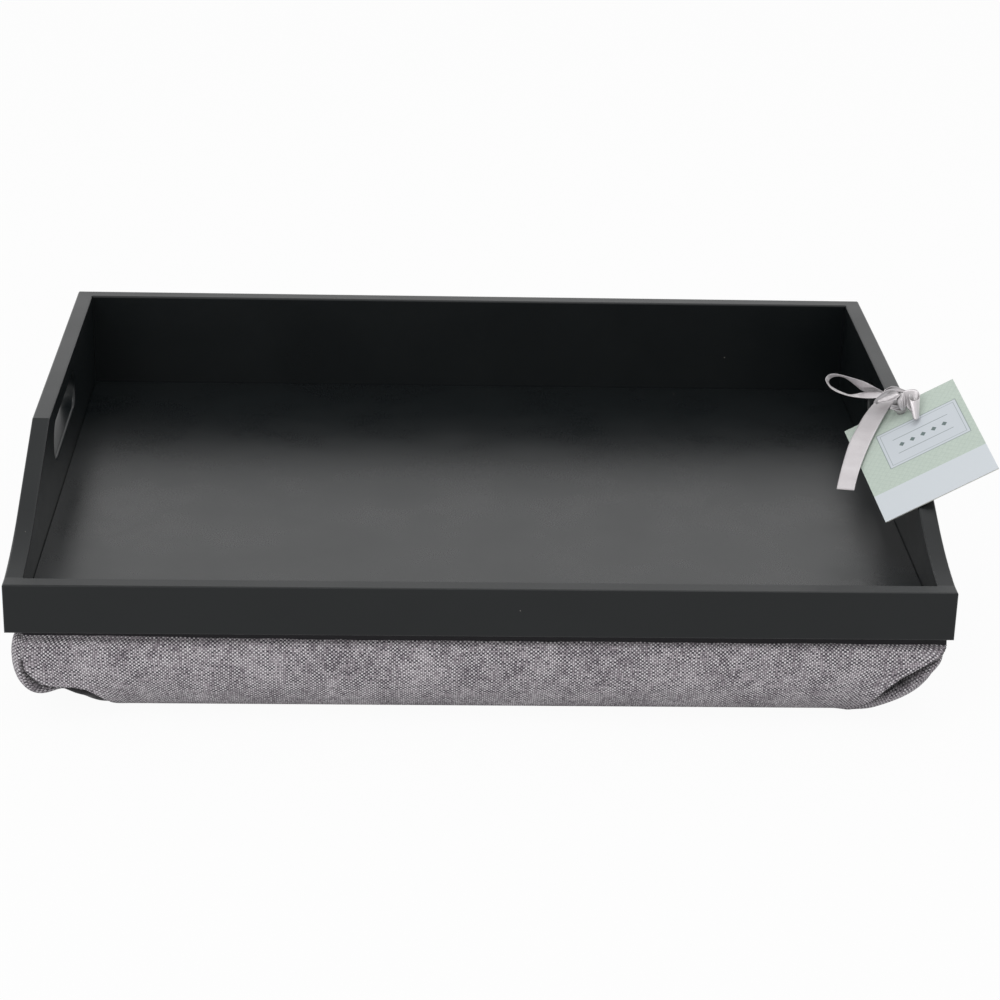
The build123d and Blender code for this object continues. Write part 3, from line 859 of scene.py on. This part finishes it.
# The knot: a full wrap that crosses it, a fold over that, and two gathers beside it, each with how far its
# pleats stand out
WRAP_px = (
    (873.4, 402.6, 1.0, 876.6, 404.4, 0.6, 0.3), (874.9, 399.6, 3.0, 878.6, 403.6, 3.4, 0.8),
    (878.3, 396.2, 4.2, 883.4, 402.9, 4.8, 1.4), (883.0, 391.9, 4.8, 889.9, 401.9, 5.4, 1.9),
    (887.6, 389.8, 4.8, 895.1, 399.7, 5.8, 2.0), (892.4, 389.2, 4.6, 898.9, 396.8, 5.6, 1.6),
    (896.8, 390.4, 3.8, 900.8, 394.2, 4.6, 1.0), (900.2, 391.8, 1.6, 902.2, 393.2, 2.2, 0.4),
)
OVER_FOLD_px = (
    (883.6, 391.2, 3.0, 886.0, 395.0, 3.4, 0.3), (887.6, 387.9, 3.4, 890.0, 392.6, 4.2, 0.7),
    (892.2, 386.2, 3.4, 894.6, 391.4, 4.2, 0.9), (896.8, 386.6, 2.8, 898.6, 392.0, 3.6, 0.8),
    (901.4, 388.6, 1.8, 902.4, 392.4, 2.4, 0.5), (905.6, 390.2, 1.0, 905.8, 392.4, 1.2, 0.2),
)
RIGHT_GATHER_px = (
    (899.6, 393.6, 3.6, 904.2, 392.4, 2.8, 0.8), (896.8, 399.6, 4.2, 906.4, 400.6, 3.0, 1.3),
    (898.2, 406.0, 3.6, 906.4, 406.2, 2.4, 1.2), (901.0, 410.8, 2.2, 904.4, 410.6, 1.8, 0.5),
)
LOW_GATHER_px = (
    (891.4, 404.6, 3.0, 889.6, 408.8, 2.4, 0.3), (896.4, 405.2, 3.4, 895.4, 410.4, 2.6, 0.8),
    (902.2, 406.2, 3.0, 902.6, 411.4, 2.2, 0.7), (906.4, 407.4, 1.8, 906.6, 410.6, 1.4, 0.3),
)
KNOT_STRIPS = ((WRAP_px, 0.1), (OVER_FOLD_px, 0.0), (RIGHT_GATHER_px, 0.35), (LOW_GATHER_px, 0.3))

# The gathered neck, which passes through the card's hole: at some heights off the card, its radius. Then its
# pleats: how many, how deep as a share of the radius, and how they turn with the height.
NECK_mm = ((-1.7, 1.3), (-0.4, 1.6), (0.3, 2.2), (1.2, 2.3), (2.4, 2.7), (4.0, 3.4), (6.0, 3.3), (7.4, 2.2))
NECK_STEPS = 48
NECK_PLEATS = 7
NECK_PLEAT_SHARE = 0.07
NECK_TWIST = 1.5


def neck():
    """The gathered ribbon through the hole and the heart of the knot, as a closed pleated form."""
    steps = NECK_STEPS
    heights, radii = np.array(NECK_mm).T
    turn = np.linspace(0, 2 * np.pi, steps, endpoint=False)[None, :]
    pleat = 1 + NECK_PLEAT_SHARE * np.cos(NECK_PLEATS * turn + NECK_TWIST * heights[:, None])
    wide, deep = radii[:, None] * pleat * np.cos(turn), radii[:, None] * pleat * np.sin(turn)
    points = HOLE_mm + wide[..., None] * CARD_ACROSS + deep[..., None] * CARD_UP
    points = points + heights[:, None, None] * CARD_NORMAL
    rows = len(heights)
    faces = []
    for i in range(rows - 1):
        for j in range(steps):
            k = (j + 1) % steps
            faces.append((i * steps + j, i * steps + k, (i + 1) * steps + k, (i + 1) * steps + j))
    faces += [tuple(range(steps))[::-1], tuple((rows - 1) * steps + j for j in range(steps))]
    place = np.stack(np.broadcast_arrays(heights[:, None], 2 * turn), -1).reshape(-1, 2)
    return points.reshape(-1, 3), faces, place


def make_ribbon():
    card, bow = (HOLE_mm, CARD_NORMAL), (KNOT_mm, BOW_NORMAL)
    tail_strip, long_strip = strip(*stations(TAIL_px, card)), strip(*stations(LONG_LOOP_px, bow))
    short_strip = strip(*stations(SHORT_LOOP_px, bow, card))
    wraps = [strip(*stations(table, bow), PLEATED_STEPS, pleat) for table, pleat in KNOT_STRIPS]
    tail = ribbon_piece("ribbon_tail_strip", [tail_strip], "ribbon_tail", open_satin)
    long_loop = ribbon_piece("long_loop", [long_strip], "ribbon_left_loop", open_satin)
    short_loop = ribbon_piece("short_loop", [short_strip], "ribbon_right_loop", tied_satin)
    knot = ribbon_piece("knot_wraps", [neck()] + wraps, "ribbon_knot", tied_satin)


make_ribbon()
dress("ribbon_band", open_satin)

# The card's generic design, across the card and up it: the middle of its pale panel from the hole, then the
# sizes of the panel, the frame in it, the row of diamonds and the two rules
PANEL_MIDDLE_mm = (5.0, -23.0)
PANEL_mm = (45.0, 27.0)
FRAME_mm = (41.6, 23.6)
DIAMOND_ROW_mm = (32.0, 8.0)
RULES_mm = (31.0, 14.0)

# The diamonds' spacing, and their half width where they are solid and where they end. Then the rules'
# distance from the panel's middle line.
DIAMOND_SPACING_mm = 6.0
DIAMOND_mm = (1.5, 1.7)
RULE_OFF_mm = 5.4

# Half widths of the printed lines, and how wide their edges and the panel's are
HATCH_LINE_mm, PANEL_LINE_mm, FRAME_LINE_mm, RULE_LINE_mm = 0.10, 0.16, 0.08, 0.14
LINE_EDGE_mm, PANEL_EDGE_mm = 0.12, 0.06
HATCH_SPACING_mm = 3.6

# The pale band lies under this level, and the printed side over this height off the card's middle
BAND_TOP_mm = (-49.9, -49.7)
PRINTED_mm = 0.45

# The card's colours, and how strongly its hatching shows, then the ink of its panel's edge, its frame, its
# diamonds and its rules
SAGE_TONES = (rgb(190, 203, 193), rgb(198, 210, 200))
HATCH_TONE = rgb(155, 172, 161)
HATCH_STRENGTH = 0.30
INK_STRENGTHS = (0.55, 0.5, 0.85, 0.6)
PANEL_TONE = rgb(207, 213, 219)
BAND_TONE = rgb(213, 219, 224)
INK = rgb(66, 92, 88)
BARE_CARD = rgb(214, 214, 206)


def printed_card(name):
    """Matt card: a sage field with fine hatching, a pale panel with lines and diamonds, and a pale band."""
    m = Surface(name)
    point = m.place()

    def along(way):
        """The distance from the hole along one way of the card, in millimetres."""
        distance = m.vector("DOT_PRODUCT", point, tuple(way)).outputs["Value"]
        return m.math("MULTIPLY_ADD", distance, 1000.0, -float(HOLE_mm @ way))

    def outside(size):
        """How far a place lies outside a rectangle about the panel's middle: negative within it."""
        return m.larger(m.minus(m.math("ABSOLUTE", from_u), size[0] / 2), m.minus(off_v, size[1] / 2))

    def line(distance, half):
        """A thin line where a distance is nearly zero."""
        return m.range(m.math("ABSOLUTE", distance), half, half + LINE_EDGE_mm, 1.0, 0.0)

    def within(distance):
        """1 where a distance is negative."""
        return m.range(distance, -PANEL_EDGE_mm, PANEL_EDGE_mm, 1.0, 0.0)

    def repeated(value, spacing):
        """The distance to the nearest of evenly spaced places."""
        return m.math("PINGPONG", value, spacing / 2)

    def hatching(value):
        return line(repeated(value, HATCH_SPACING_mm), HATCH_LINE_mm)

    u, v, w = along(CARD_ACROSS), along(CARD_UP), along(CARD_NORMAL)
    from_u = m.minus(u, PANEL_MIDDLE_mm[0])
    off_v = m.math("ABSOLUTE", m.minus(v, PANEL_MIDDLE_mm[1]))
    fibre = m.noise(point, scale=700, detail=3, rough=0.6)
    field = m.mix(m.spread(fibre, 0, 1), *SAGE_TONES)
    hatch = m.larger(hatching(m.add(u, v)), hatching(m.minus(u, v)))
    field = m.mix(m.times(hatch, HATCH_STRENGTH), field, HATCH_TONE)
    panel = outside(PANEL_mm)
    field = m.mix(within(panel), field, PANEL_TONE)
    diamond = m.range(m.add(repeated(from_u, DIAMOND_SPACING_mm), off_v), *DIAMOND_mm, 1.0, 0.0)
    rule = line(m.minus(off_v, RULE_OFF_mm), RULE_LINE_mm)
    shapes = (
        line(panel, PANEL_LINE_mm), line(outside(FRAME_mm), FRAME_LINE_mm),
        m.times(diamond, within(outside(DIAMOND_ROW_mm))), m.times(rule, within(outside(RULES_mm))),
    )
    for shape, strength in zip(shapes, INK_STRENGTHS):
        field = m.mix(m.times(shape, strength), field, INK)
    field = m.mix(m.range(v, *BAND_TOP_mm, 1.0, 0.0), field, BAND_TONE)
    printed_side = m.math("GREATER_THAN", w, PRINTED_mm)
    m.set(
        Base_Color=m.mix(printed_side, BARE_CARD, field), Roughness=0.5, IOR=1.45,
        Normal=m.bump(fibre, strength=0.05, distance=0.0002),
    )
    return m.material


dress("swing_tag", printed_card("printed_card"))


# Stage and light

FLOOR_RADIUS = 5
FLOOR_CORNERS = 96

# How much of the floor's white the camera sees, the rest of which is its soft shadow
FLOOR_WHITE = 0.95

# The strength of the white surroundings as light, and as they are seen
WORLD_LIGHT, WORLD_SEEN = 0.62, 1.0

# The soft boxes: name, place, size and watts, and the point that they all face
SOFT_BOXES = (
    ("soft_box_left", (-1.1, -1.3, 1.5), (1.2, 1.2), 9),
    ("soft_box_top", (0.3, -0.2, 1.9), (1.4, 1.0), 8),
)
LIT_POINT = (0, 0, 0.05)


def make_stage():
    """A pale floor that the camera sees as white, with the object's soft shadow."""
    mesh = bpy.data.meshes.new("floor")
    turns = np.linspace(0, 2 * math.pi, FLOOR_CORNERS, endpoint=False)
    ring = [(FLOOR_RADIUS * math.cos(a), FLOOR_RADIUS * math.sin(a), 0) for a in turns]
    mesh.from_pydata(ring, [], [list(range(FLOOR_CORNERS))])
    floor = add_object("floor", mesh)
    m = Surface("pale_floor")
    m.set(Base_Color=(0.72, 0.72, 0.72, 1), Roughness=0.9)
    white = m.node("ShaderNodeEmission", {"Color": (1, 1, 1, 1), "Strength": 1.0})
    share = m.times(m.white_rays(), FLOOR_WHITE)
    mix = m.node("ShaderNodeMixShader", enumerate((share, m.shader.outputs[0], white.outputs[0])))
    m.put(m.output.inputs["Surface"], mix.outputs[0])
    mesh.materials.append(m.material)


def make_world():
    """Surroundings that are seen as white, and give a softer light than that."""
    world = bpy.data.worlds.new("studio")
    scene.world = world
    world.use_nodes = True
    n = Nodes(world.node_tree)
    back = world.node_tree.nodes["Background"]
    n.put(back.inputs["Color"], (1, 1, 1, 1))
    n.put(back.inputs["Strength"], n.range(n.white_rays(), 0.0, 1.0, WORLD_LIGHT, WORLD_SEEN))


def soft_box(name, place, size, watts):
    """A rectangular lamp that faces the object."""
    data = bpy.data.lights.new(name, "AREA")
    data.shape = "RECTANGLE"
    data.size, data.size_y = size
    data.energy = watts
    lamp = add_object(name, data)
    lamp.location = place
    lamp.rotation_euler = (Vector(LIT_POINT) - Vector(place)).to_track_quat("-Z", "Y").to_euler()


make_stage()
make_world()
for box in SOFT_BOXES:
    soft_box(*box)
